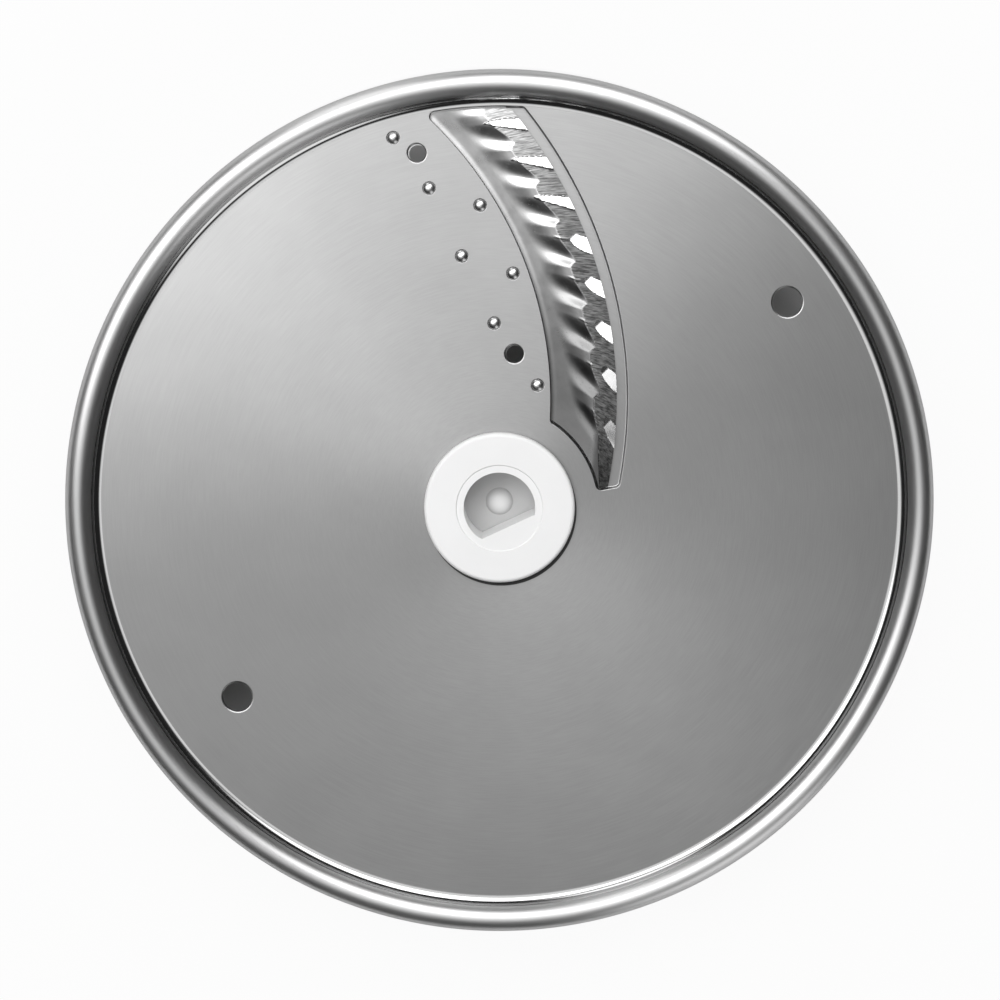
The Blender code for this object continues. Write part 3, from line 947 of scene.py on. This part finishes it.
@dataclass
class RippleBlade:
    """The corrugated knife: a flat flange under the disc that rises through the window."""

    arcs: BladeArcs
    flange_top: float
    thickness: float = 1.2 * MM
    edge_land: float = 0.12 * MM
    bevel: float = 5.2 * MM
    pitch: float = 8.3 * MM
    crest: float = 89.9 * MM
    fade: float = 5.0 * MM
    rise: float = 2.9 * MM
    rise_share: float = 0.74
    rise_round: float = 0.12
    relief: float = 0.74 * MM
    flank_middle: float = 3.2 * MM
    flank_wide: float = 3.4 * MM
    flank_narrow: float = 1.8 * MM
    flank_spread: float = 0.2
    clearance: float = 0.5 * MM
    bevel_limit: float = 0.45
    hub_fade_from: float = 0.6
    rim_fade_from: float = 0.3
    tool_reach: float = 1.0 * MM
    rivet_hole: float = 1.3 * MM
    pilot_radius: float = 2.1 * MM
    pilot_shift: float = 0.25 * MM
    rivet_facets: int = 40
    pilot_facets: int = 64
    ridge_start: float = 15.2 * MM
    ridge_length: float = 6.4 * MM
    ground_reach: float = 9.0 * MM
    ground_slope: float = 0.21
    ground_slack: float = 0.01 * MM
    long_facets: int = 3
    long_facet: float = 9.0 * MM
    short_facet: float = 4.7 * MM
    facet_half: float = 1.5 * MM
    short_facet_half: float = 1.8 * MM
    facet_stand: float = 0.1 * MM
    facet_slope: float = 0.1
    facet_lean: float = 0.16
    facet_flank: float = 4.0
    facet_taper: float = 0.55
    key_way: Point = (0.1, 0.995)
    tip_height: float = 0.1 * MM
    tip_half: float = 0.35 * MM
    rows: int = 460
    flange_columns: int = 4
    rise_columns: int = 50
    bevel_columns: int = 36

    @staticmethod
    def ease(value: float) -> float:
        """Smooth step from 0 to 1."""
        value = max(0.0, min(1.0, value))
        return value * value * (3.0 - 2.0 * value)

    def columns(self) -> list[float]:
        """Places of the grid's columns: below 0 on the flange, 0 at the seam, 1 at the bevel, 2 at the edge.

        Returns:
            The places in order.
        """
        flange = [-1.0 + step / self.flange_columns for step in range(self.flange_columns)]
        rise = [step / self.rise_columns for step in range(self.rise_columns)]
        bevel = [1.0 + step / self.bevel_columns for step in range(self.bevel_columns + 1)]
        return flange + rise + bevel

    def surface(self, radius: float, column: float) -> Point3:
        """Where a column crosses a circle about the axis.

        Args:
            radius: Radius of the circle.
            column: Place of the column.

        Returns:
            The clockwise angle from +Y, and the heights of the underside and of the top.
        """
        arcs = self.arcs
        seam = arcs.bearing(radius, arcs.seam)
        if column < 0.0:
            flange = arcs.bearing(radius, arcs.seam - arcs.flange_width)
            angle = seam + (flange - seam) * -column
            return angle, self.flange_top - self.thickness, self.flange_top
        limit = arcs.end_angle - self.clearance / arcs.hub_end
        edge = arcs.bearing(radius, arcs.edge)
        end = min(edge, limit)
        span = (end - seam) * radius
        bevel = min(self.bevel / span, self.bevel_limit)
        share = column * (1.0 - bevel) if column <= 1.0 else 1.0 - bevel * (2.0 - column)
        angle = seam + share * (end - seam)
        spot = arcs.at(radius, angle)
        to_edge = (edge - angle) * radius
        fade = self.ease((radius - arcs.hub_end) / self.fade - self.hub_fade_from)
        fade *= self.ease((arcs.rim_end - radius) / self.fade + self.rim_fade_from)
        ridge = self.ease((self.ridge_start - to_edge) / self.ridge_length) * fade
        wave = self.wave(radius, to_edge)
        reach = (spot - Vector(arcs.centre)).length - arcs.seam
        level = self.flange_top + self.rise * self.climb(reach / (arcs.blade_reach * self.rise_share))
        pressed = level + ridge * self.relief / 2.0 * wave
        crest = self.flange_top + self.rise + self.relief / 2.0
        ground = crest - self.ground_slope * (self.ground_reach - to_edge)
        top = min(pressed, ground)
        inside, length, offset = self.facet(radius, to_edge)
        if inside > 0.0:
            crest_radius = radius - offset
            middle = arcs.at(crest_radius, arcs.bearing(crest_radius, arcs.edge) - length / 2.0 / crest_radius)
            stand = self.facet_stand + (self.ground_slope - self.facet_slope) * (length - to_edge)
            stand -= self.facet_lean * (spot - middle).dot(Vector(self.key_way))
            top += max(0.0, min(stand, self.facet_flank * inside)) * fade
        elif length < to_edge < self.ground_reach:
            share_along = (to_edge - length) / (self.ground_reach - length)
            tip = self.tip_height * math.sin(math.pi * share_along) * fade
            top += tip * max(0.0, 1.0 - abs(offset) / self.tip_half)
        under = min(pressed - self.thickness, top - self.edge_land)
        return angle, under, top

    def wave(self, radius: float, to_edge: float) -> float:
        """Height of the corrugations: a broad crest, a short outer flank and a long inner one.

        Args:
            radius: Distance of the point from the axis.
            to_edge: Distance of the point from the cutting edge.

        Returns:
            1 on a crest, -1 in a trough.
        """
        offset = (radius - self.crest) % self.pitch
        flank = self.flank_narrow + self.flank_spread * max(0.0, to_edge - self.bevel)
        flank = min(flank, self.flank_wide)
        trough = self.flank_middle + flank / 2.0
        if offset < trough:
            return 1.0 - 2.0 * self.ease((offset - trough + flank) / flank)
        return 2.0 * self.ease((offset - trough) / (self.pitch - trough)) - 1.0

    def climb(self, share: float) -> float:
        """Even rise from 0 to 1 with rounded ends.

        Args:
            share: Where it is, from 0 to 1.

        Returns:
            The height reached.
        """
        share = max(0.0, min(1.0, share))
        bend = self.rise_round
        steep = 1.0 / (1.0 - bend)
        if share < bend:
            return steep * share * share / (2.0 * bend)
        if share > 1.0 - bend:
            return 1.0 - steep * (1.0 - share) ** 2 / (2.0 * bend)
        return steep * (share - bend / 2.0)

    def facet(self, radius: float, to_edge: float) -> Point3:
        """Where a point lies in the bright facet on the nearest crest.

        Args:
            radius: Distance of the point from the axis.
            to_edge: Distance of the point from the cutting edge.

        Returns:
            How far inside the facet it is, the facet's length, and the distance outwards from the crest.
        """
        number = round((self.crest - radius) / self.pitch)
        offset = radius - self.crest + number * self.pitch
        if number < self.long_facets:
            length = self.long_facet
            half = self.facet_half * max(0.0, 1.0 - to_edge / length) ** self.facet_taper
        else:
            length = self.short_facet
            half = self.short_facet_half * math.sqrt(max(0.0, 1.0 - (to_edge / length) ** 3))
        return half - abs(offset), length, offset

    def build(self, rivets: list[Vector], pilots: list[Point]) -> Piece:
        """Model the blade.

        Args:
            rivets: Middles of the rivets.
            pilots: The (x, y) places of the pilot holes.

        Returns:
            The finished mesh, without its materials.
        """
        places = self.columns()
        inner = self.arcs.hub_end + self.clearance
        length = self.arcs.rim_end - self.clearance - inner

        def place(column: int, row: int, side: int) -> Point3:
            """Place of a vertex of the underside or of the top.

            Args:
                column: Its column in the grid.
                row: Its row in the grid.
                side: 1 on the underside, 2 on the top.

            Returns:
                Its place.
            """
            radius = inner + length * row / self.rows
            found = self.surface(radius, places[column])
            return (radius * math.sin(found[0]), radius * math.cos(found[0]), found[side])

        blade = laid("knife", len(places) - 1, self.rows, lambda column, row: place(column, row, 2))
        under = laid("knife_underside", len(places) - 1, self.rows, lambda column, row: place(column, row, 1))
        take(blade)
        under.select_set(True)
        bpy.ops.object.join()
        edit(blade)
        pick_edges(blade, lambda edge: len(edge.link_faces) == 1)
        bpy.ops.mesh.bridge_edge_loops()
        pick_all()
        bpy.ops.mesh.normals_make_consistent(inside=False)
        leave_edit()
        low = self.flange_top - self.thickness - self.tool_reach
        high = self.flange_top + self.tool_reach
        shift = self.pilot_shift
        tools = [peg("rivet_hole", self.rivet_hole, low, high, self.rivet_facets, (middle.x, middle.y))
                 for middle in rivets]
        tools += [peg("pilot_hole", self.pilot_radius, low, high, self.pilot_facets, (x + shift, y - shift))
                  for x, y in pilots]
        cut(blade, tools, Cut.REMOVE)
        take(blade)
        bpy.ops.object.shade_smooth_by_angle(angle=math.radians(SMOOTH_ANGLE))
        return blade

    def dress(self, blade: Piece, pressed: Finish, ground: Finish, bright: Finish) -> None:
        """Give the blade its pressed face, its ground bevel and its bright facets.

        Args:
            blade: The knife.
            pressed: Finish of the pressed sheet.
            ground: Finish of the ground bevel.
            bright: Finish of the facets on the crests.
        """
        coat(blade, pressed, ground, bright)
        arcs = self.arcs
        foot = self.flange_top + self.rise + self.relief / 2.0
        for face in blade.data.polygons:
            middle = face.center
            radius = middle.xy.length
            to_edge = (arcs.bearing(radius, arcs.edge) - math.atan2(middle.x, middle.y)) * radius
            if face.normal.z <= 0.0 or to_edge > self.ground_reach:
                continue
            plane = foot - self.ground_slope * (self.ground_reach - to_edge)
            if self.facet(radius, to_edge)[0] > 0.0 and to_edge < self.long_facet:
                face.material_index = 2
            elif middle.z > plane - self.ground_slack:
                face.material_index = 1


@dataclass
class BladeRivets:
    """The rivets that hold the blade: countersunk and domed on top, a button head under the blade."""

    sheet_top: float
    under: float
    shank: float = 1.0 * MM
    head: float = 1.4 * MM
    sink: float = 0.6 * MM
    tail: float = 2.2 * MM
    tail_height: float = 1.0 * MM
    dome: float = 0.55 * MM
    gap: float = 0.15 * MM
    steps: int = 48

    @staticmethod
    def dome_points(radius: float, height: float, base: float, steps: int) -> Profile:
        """Section of a shallow dome, from its rim to its top on the axis.

        Args:
            radius: Radius at its rim.
            height: Its height, negative for one that hangs.
            base: Height of its rim.
            steps: Number of stretches.

        Returns:
            The section's points.
        """
        sphere = (radius ** 2 + height ** 2) / (2.0 * abs(height))
        side = math.copysign(1.0, height)
        centre = base + height - side * sphere
        half = math.asin(radius / sphere)
        leans = [half * (1.0 - step / steps) for step in range(steps + 1)]
        return [(sphere * math.sin(lean), centre + side * sphere * math.cos(lean)) for lean in leans]

    def build(self, places: list[Vector]) -> list[Piece]:
        """Model one rivet and copy it to each place.

        Args:
            places: Middles of the rivets.

        Returns:
            The rivets, each with its own mesh.
        """
        rim = self.sheet_top - self.gap
        profile = self.dome_points(self.tail, -self.tail_height, self.under, 8)[::-1]
        profile += [(self.shank, self.under), (self.shank, rim - self.sink)]
        profile += self.dome_points(self.head, self.dome, rim, 8)
        first = turned("rivet", profile, self.steps)
        smooth(first, 50.0)
        rivets = []
        for number, middle in enumerate(places, 1):
            rivet = first.copy()
            rivet.data = first.data.copy()
            rivet.name = f"knife_rivet_{number}"
            bpy.context.collection.objects.link(rivet)
            edit(rivet)
            pick_all()
            bpy.ops.transform.translate(value=(middle.x, middle.y, 0.0))
            leave_edit()
            rivets.append(rivet)
        bpy.data.objects.remove(first, do_unlink=True)
        return rivets


@dataclass
class Hub:
    """The moulded hub: a flange over the sheet, a neck through it and a drive boss under it, with a black ring
    under the flange, off the axis, as a painted contact shadow.
    """

    top: float
    seat: float
    under: float
    flange: float = 17.8 * MM
    neck: float = 12.0 * MM
    boss: float = 15.5 * MM
    foot: float = 14.5 * MM
    edge_round: float = 1.0 * MM
    socket: float = 8.45 * MM
    socket_flat: float = 4.9 * MM
    flat_angle: float = math.radians(-65.0)
    floor: float = 10.2 * MM
    drive_depth: float = 8.0 * MM
    recess: float = 10.3 * MM
    recess_depth: float = 0.25 * MM
    dome: float = 3.3 * MM
    dome_height: float = 1.8 * MM
    # A black ring under the flange, shifted off the axis so that it shows at one side only: a painted contact
    # shadow.
    painted_shadow_ring_shift: Point = (0.42 * MM, -1.0 * MM)
    painted_shadow_ring_gap: float = 0.02 * MM
    painted_shadow_ring_overlap: float = 0.5 * MM
    painted_shadow_ring_from: float = 12.1 * MM
    dome_root: float = 0.7 * MM
    socket_facets: int = 160
    dome_facets: int = 72
    steps: int = 240

    def socket_tool(self, name: str, bottom: float, top: float) -> Piece:
        """Make the D-shaped tool of a socket: a cylinder with one side cut flat.

        Args:
            name: Name of the new object.
            bottom: Height of its foot.
            top: Height of its top.

        Returns:
            The tool.
        """
        tool = peg(name, self.socket, bottom, top, self.socket_facets)
        side = Vector((math.cos(self.flat_angle), math.sin(self.flat_angle), 0.0))
        edit(tool)
        pick_all()
        bpy.ops.mesh.bisect(plane_co=side * self.socket_flat, plane_no=side, clear_outer=True, use_fill=True)
        leave_edit()
        return tool

    def build(self) -> Piece:
        """Model the hub.

        Returns:
            The finished mesh, without its material.
        """
        turn = math.pi / 2.0
        edge = self.edge_round
        profile = [(0.0, 0.0)]
        profile += arc((self.foot - edge, edge), edge, -turn, 0.0, 8)
        profile += [(self.boss, self.under), (self.neck, self.under), (self.neck, self.seat)]
        profile += [(self.flange, self.seat)]
        profile += arc((self.flange - edge, self.top - edge), edge, 0.0, turn, 10)
        profile += [(self.recess, self.top), (self.recess - self.recess_depth, self.top - self.recess_depth)]
        profile += [(0.0, self.top - self.recess_depth)]
        hub = turned("moulded_hub", profile, self.steps)
        # Black ring under the flange, off centre so that a thin dark crescent shows at one side: a painted
        # contact shadow.
        inner = self.neck - self.painted_shadow_ring_overlap
        foot, head = self.seat - SEAT_GAP + self.painted_shadow_ring_gap, self.seat + self.painted_shadow_ring_gap
        ring = [(inner, foot), (self.flange, foot), (self.flange, head), (inner, head)]
        cut(hub, [turned("painted_shadow_ring", ring, self.steps, closed=True, place=self.painted_shadow_ring_shift)], Cut.ADD)
        top_socket = self.socket_tool("top_socket", self.floor, self.top + CUT_PAST)
        root = self.floor - self.dome_root
        dome = [(0.0, root), (self.dome, root)]
        dome += BladeRivets.dome_points(self.dome, self.dome_height, self.floor, 12)
        cut(top_socket, [turned("socket_dome", dome, self.dome_facets)], Cut.REMOVE)
        cut(hub, [top_socket, self.socket_tool("drive_socket", -CUT_PAST, self.drive_depth)], Cut.REMOVE)
        smooth(hub)
        return hub

    def dress(self, hub: Piece, plastic: Finish, painted_contact_shadow: Finish) -> None:
        """Give the hub its plastic, and the ring under its flange the black of a painted contact shadow.

        Args:
            hub: The moulded hub.
            plastic: Finish of the moulding.
            painted_contact_shadow: Black finish of the ring under the flange, a painted contact shadow.
        """
        coat(hub, plastic, painted_contact_shadow)
        for face in hub.data.polygons:
            middle = face.center
            low = self.seat - SEAT_GAP < middle.z < self.seat + 2.0 * self.painted_shadow_ring_gap
            face.material_index = int(low and middle.xy.length > self.painted_shadow_ring_from)


# Studio


@dataclass(frozen=True)
class SoftBox:
    """A large studio lamp behind diffusing cloth, brightest in its middle, that faces the disc."""

    name: str
    azimuth: float
    zenith: float
    distance: float
    width: float
    height: float
    brightness: float
    even_share: float = 0.35

    def build(self, target: Vector) -> Piece:
        """Place the lamp.

        Args:
            target: The point that it faces.

        Returns:
            The lamp.
        """
        lamp = bpy.data.lights.new(self.name, "AREA")
        lamp.shape = "ELLIPSE"
        lamp.size = self.width
        lamp.size_y = self.height
        lamp.energy = self.brightness * self.width * self.height * math.pi * math.pi / 4.0
        self.soften(lamp)
        holder = bpy.data.objects.new(self.name, lamp)
        bpy.context.scene.collection.objects.link(holder)
        turn, lean = math.radians(self.azimuth), math.radians(self.zenith)
        away = Vector((math.cos(turn) * math.sin(lean), math.sin(turn) * math.sin(lean), math.cos(lean)))
        holder.location = target + away * self.distance
        holder.rotation_euler = away.to_track_quat("Z", "Y").to_euler()
        return holder

    def soften(self, lamp: bpy.types.Light) -> None:
        """Let the lamp's light fall off towards its edge.

        Args:
            lamp: The lamp.
        """
        lamp.use_nodes = True
        nodes = Nodes(lamp.node_tree)
        spot = nodes.add("ShaderNodeNewGeometry").outputs["Parametric"]
        middle = nodes.add("ShaderNodeVectorMath", {0: spot, 1: (0.5, 0.5, 0.0)}, operation="SUBTRACT")
        flat = nodes.add("ShaderNodeVectorMath", {0: middle.outputs[0], 1: (2.0, 2.0, 0.0)}, operation="MULTIPLY")
        strength = nodes.ramp(nodes.length(flat.outputs[0]), self.even_share, 1.0, 1.0, 0.0)
        nodes.feed(lamp.node_tree.nodes["Emission"], {"Strength": strength})


@dataclass(frozen=True)
class Studio:
    """Plain floor, soft lamps and the camera over the disc."""

    floor_radius: float = 6.0
    floor_colour: float = 0.93
    floor_cloud: float = 0.005
    floor_drop: float = 0.05 * MM
    floor_white_from: float = 99.0 * MM
    floor_white_to: float = 104.0 * MM
    floor_white_share: float = 0.95
    mirror_white_from: float = 104.0 * MM
    mirror_white_to: float = 280.0 * MM
    # Painted shade: the floor's colour under the disc, rising to the full colour far from it.
    floor_shade_under: float = 0.6
    world_brightness: float = 0.02
    camera_place: Point3 = (0.142 * MM, 86.898 * MM, 715.787 * MM)
    camera_tilt: float = math.radians(-7.0)
    camera_lens: float = 106.539
    target: Vector = Vector((0.0, 0.0, 22.0 * MM))

    def build_floor(self) -> Piece:
        """Lay the pale floor, with painted shade that darkens it under and round the disc.

        Returns:
            The floor.
        """
        clear_selection()
        bpy.ops.mesh.primitive_circle_add(vertices=96, radius=self.floor_radius, fill_type="NGON")
        floor = bpy.context.object
        floor.name = "studio_floor"
        edit(floor)
        pick_all()
        bpy.ops.transform.translate(value=(0.0, 0.0, -self.floor_drop))
        leave_edit()
        material, nodes, shader, place = new_material("pale_paper")
        reach = nodes.length(place)
        under, white_share = self.floor_shade_under, self.floor_white_share
        # Painted shade: the paper is darker under and near the disc, as its shadow and in the disc's reflections.
        shaded_paper = nodes.ramp(reach, self.mirror_white_from, self.mirror_white_to, under, self.floor_colour)
        cloud = nodes.spread(nodes.noise(place, 3.0, 2.0), 1.0 - self.floor_cloud, 1.0 + self.floor_cloud)
        colour = nodes.grey(nodes.math("MULTIPLY", shaded_paper, cloud))
        nodes.feed(shader, {"Base Color": colour, "Roughness": 0.9, "Specular IOR Level": 0.1})
        seen = nodes.ramp(reach, self.floor_white_from, self.floor_white_to, 0.0, white_share)
        far = nodes.ramp(reach, self.mirror_white_from, self.mirror_white_to, 0.0, white_share)
        path = nodes.add("ShaderNodeLightPath").outputs
        mirrored = nodes.math("MAXIMUM", path["Is Glossy Ray"], path["Is Transmission Ray"])
        shown = nodes.math("MAXIMUM", nodes.math("MULTIPLY", seen, path["Is Camera Ray"]),
                           nodes.math("MULTIPLY", far, mirrored))
        white = nodes.add("ShaderNodeEmission", {"Color": grey(1.0), "Strength": 1.0})
        mix = nodes.add("ShaderNodeMixShader", {0: shown, 1: shader.outputs[0], 2: white.outputs[0]})
        nodes.feed(material.node_tree.nodes["Material Output"], {"Surface": mix.outputs[0]})
        floor.data.materials.append(material)
        return floor

    def build_world(self) -> None:
        """Fill the room with a little even light."""
        world = bpy.data.worlds.new("studio_room")
        world.use_nodes = True
        back = world.node_tree.nodes["Background"]
        back.inputs["Color"].default_value = grey(1.0)
        back.inputs["Strength"].default_value = self.world_brightness
        bpy.context.scene.world = world

    def build_camera(self) -> None:
        """Put the camera where the photograph was taken from."""
        camera = bpy.data.cameras.new("camera")
        camera.type = "PERSP"
        camera.lens = self.camera_lens
        camera.sensor_width = 36.0
        camera.clip_start = 0.01
        camera.clip_end = 20.0
        holder = bpy.data.objects.new("camera", camera)
        bpy.context.scene.collection.objects.link(holder)
        holder.location = self.camera_place
        holder.rotation_euler = (self.camera_tilt, 0.0, 0.0)
        bpy.context.scene.camera = holder

    def build(self, lamps: list[SoftBox]) -> None:
        """Set the whole studio up.

        Args:
            lamps: The lamps to place.
        """
        self.build_floor()
        self.build_world()
        self.build_camera()
        for lamp in lamps:
            lamp.build(self.target)
        bpy.context.scene.view_settings.view_transform = "Standard"


LAMPS = [
    SoftBox("key_left", 147.0, 32.0, 0.95, 0.88, 0.9, 4.0, 0.45),
    SoftBox("key_up", 77.0, 36.0, 0.95, 0.86, 1.05, 3.8, 0.45),
    SoftBox("key_foot", 112.0, 68.0, 1.0, 0.6, 0.75, 1.8, 0.4),
    SoftBox("overhead", 205.0, 6.0, 0.95, 1.0, 1.0, 1.05, 0.25),
    SoftBox("left_glow", 212.0, 30.0, 1.0, 0.7, 0.6, 0.35, 0.3),
    SoftBox("lower_right", -60.0, 63.0, 1.0, 0.7, 0.95, 1.3, 0.5),
]

PILOT_SHARES = ((0.878, 0.438), (0.184, 0.449))
LIFT_PLACES = ((83.1 * MM, 54.4), (77.4 * MM, 233.8))


def middle_of(node: str) -> Vector:
    """Middle of a solid's box."""
    low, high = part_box(node)
    return (low + high) / 2.0


def main() -> None:
    """Build and dress every piece, and set up the studio."""
    logging.basicConfig(level=logging.INFO, format="%(message)s")
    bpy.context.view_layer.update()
    arcs = BladeArcs()
    disc_low, disc_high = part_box("disc_plate")
    rivet_nodes = sorted(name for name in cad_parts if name.startswith("blade_rivet"))
    rivet_places = [middle_of(name) for name in rivet_nodes]
    blade_low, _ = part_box("ripple_blade")
    _, hub_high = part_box("hub")

    plate_maker = DiscPlate(arcs, disc_high.x, hub_high.z - HUB_FLANGE)
    pilots = []
    for length_share, width_share in PILOT_SHARES:
        radius = arcs.hub_end + length_share * (arcs.rim_end - arcs.hub_end)
        angle = arcs.bearing(radius, arcs.seam - width_share * arcs.flange_width)
        pilots.append((radius * math.sin(angle), radius * math.cos(angle)))
    lifts = [(radius * math.sin(math.radians(turn)), radius * math.cos(math.radians(turn)))
             for radius, turn in LIFT_PLACES]

    grain = turned_grain_group()
    mottle = mottle_group()
    web = TurnedSteel("brushed_web", colour=0.36, roughness=0.315, anisotropy=0.62).build(grain, mottle)
    rim = TurnedSteel("polished_rim", colour=0.58, roughness=0.33, anisotropy=0.72).build(grain, mottle)
    hollow = TurnedSteel("polished_fillet", colour=0.58, roughness=0.12, anisotropy=0.3).build(grain, mottle)
    # The knife is painted darker towards the hub as painted shade.
    pressed = PressedSteel("pressed_knife", colour=0.61, roughness=0.3, painted_hub_shade=0.18).build(mottle)
    ground = TurnedSteel("ground_bevel", colour=0.46, roughness=0.34, anisotropy=0.4, colour_spread=0.27,
                         grain_height=0.016 * MM, grain_fineness=4200.0, grain_length=26.0).build(grain, mottle)
    bright = PressedSteel("bright_facets", colour=0.8, roughness=0.24, cloud=0.03, specks=0.05).build(mottle)
    rivet_steel = PressedSteel("rivet_heads", colour=0.6, roughness=0.3, specks=0.05).build(mottle)
    plastic = MouldedPlastic("white_plastic", colour=0.93).build(mottle)
    # Black finish of the ring under the hub's flange, a painted contact shadow.
    painted_contact_shadow = MouldedPlastic("dark_painted_contact_shadow", colour=0.03, roughness=0.6).build(mottle)

    plate = plate_maker.build(rivet_places, pilots, lifts)
    plate_maker.dress(plate, web, rim, hollow)
    install(plate, Slot.DISC, ["disc_plate"])

    blade_maker = RippleBlade(arcs, blade_low.z + RippleBlade.thickness)
    blade = blade_maker.build(rivet_places, pilots)
    blade_maker.dress(blade, pressed, ground, bright)
    install(blade, Slot.BLADE, ["ripple_blade"])

    rivet_maker = BladeRivets(plate_maker.top, blade_low.z - SEAT_GAP)
    for rivet, node in zip(rivet_maker.build(rivet_places), rivet_nodes):
        coat(rivet, rivet_steel)
        install(rivet, Slot.RIVET, [node])

    under = plate_maker.top - plate_maker.sheet
    hub_maker = Hub(hub_high.z, plate_maker.top + SEAT_GAP, under - SEAT_GAP)
    hub = hub_maker.build()
    hub_maker.dress(hub, plastic, painted_contact_shadow)
    install(hub, Slot.HUB, ["hub"])

    Studio().build(LAMPS)


if __name__ == "__main__":
    main()
